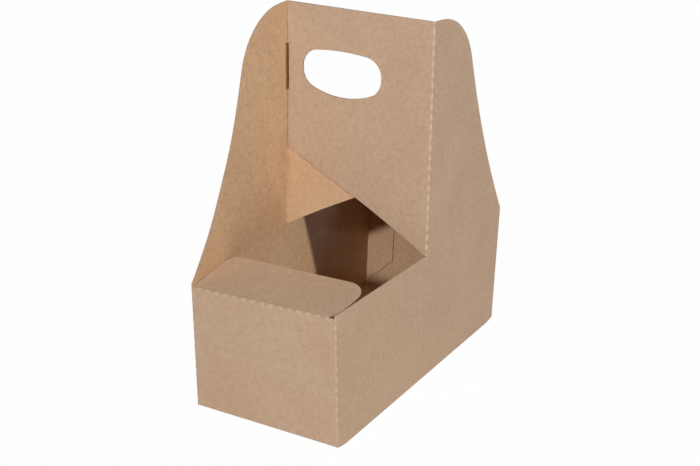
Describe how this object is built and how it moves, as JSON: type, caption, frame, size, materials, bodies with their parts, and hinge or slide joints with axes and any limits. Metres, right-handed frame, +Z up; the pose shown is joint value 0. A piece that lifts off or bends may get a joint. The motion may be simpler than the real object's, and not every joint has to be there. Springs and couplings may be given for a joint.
{
  "type": "cardboard cup carrier",
  "caption": "Folded kraft paperboard carrier for takeaway cups: an open box with flared wings, rounded top flaps and a layered handle with an oval hand hole.",
  "frame": {"origin": "middle of the base, on the surface the carrier stands on", "axes": "+Z up; +Y along the side walls, so -Y is the end wall nearest the camera; +X towards the right-hand side wall"},
  "size_m": [0.1, 0.21, 0.229],
  "materials": {
    "kraft_board": "matte uncoated brown kraft board, greyer outside and browner inside"
  },
  "bodies": {
    "root": {"folded_carrier": "kraft_board"}
  },
  "joints": []
}
